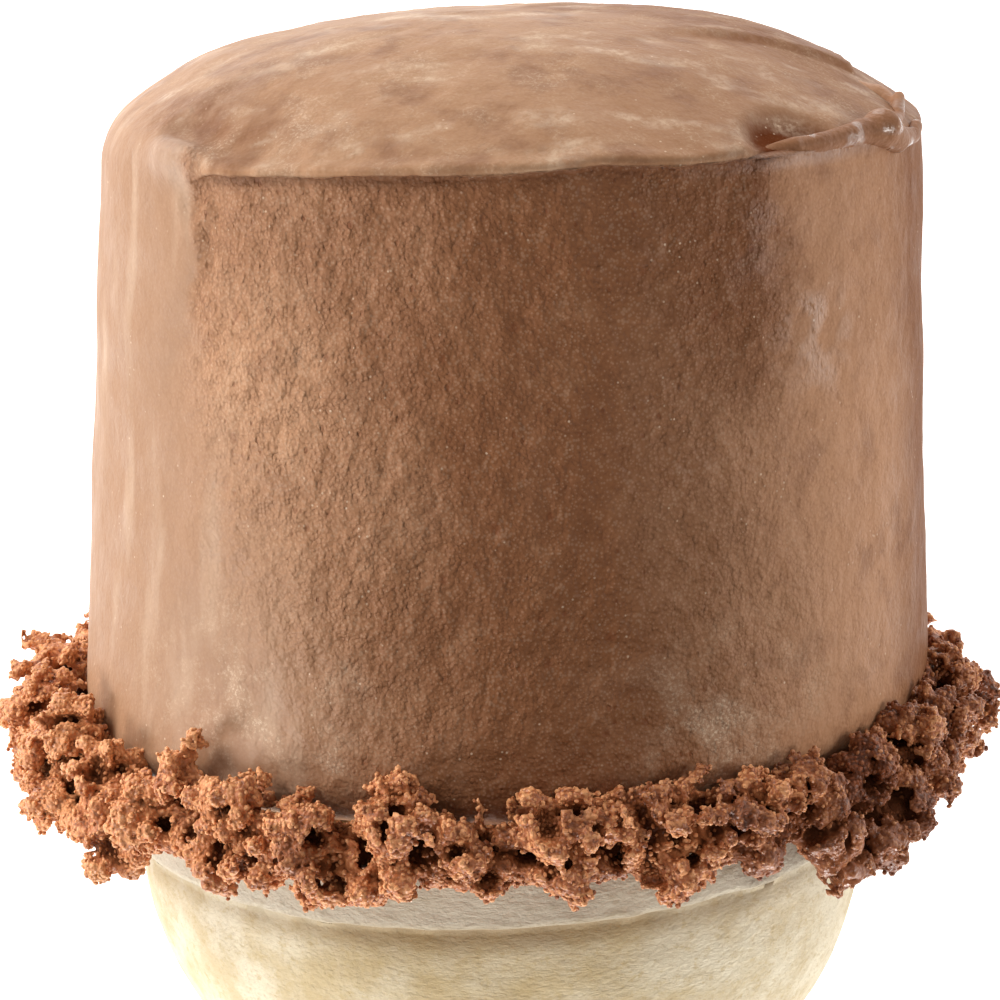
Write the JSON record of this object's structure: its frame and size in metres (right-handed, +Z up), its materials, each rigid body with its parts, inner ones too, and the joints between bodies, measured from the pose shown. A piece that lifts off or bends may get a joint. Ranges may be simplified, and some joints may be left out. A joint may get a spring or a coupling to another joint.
{
  "type": "ice cream cone",
  "caption": "Chocolate ice cream drum pressed into a moulded wafer cup, with a collar of baked crumbs round its foot, lying on its side.",
  "frame": {"origin": "centre of the part's box, at the surface that it lies on", "axes": "+Y along the cone's axis from the wafer's foot to the crown of the ice cream, +Z up out of the surface, +X across the cone"},
  "size_m": [0.0692, 0.1212, 0.0622],
  "materials": {
    "ice_cream": "frozen chocolate ice cream, porous and slightly melted",
    "crumbs": "baked chocolate crumbs, granular, melted together in places",
    "wafer": "pale baked wafer, papery and dry"
  },
  "bodies": {
    "root": {"ice_cream": "ice_cream", "crumb_collar": "crumbs", "wafer_cone": "wafer"}
  },
  "joints": []
}
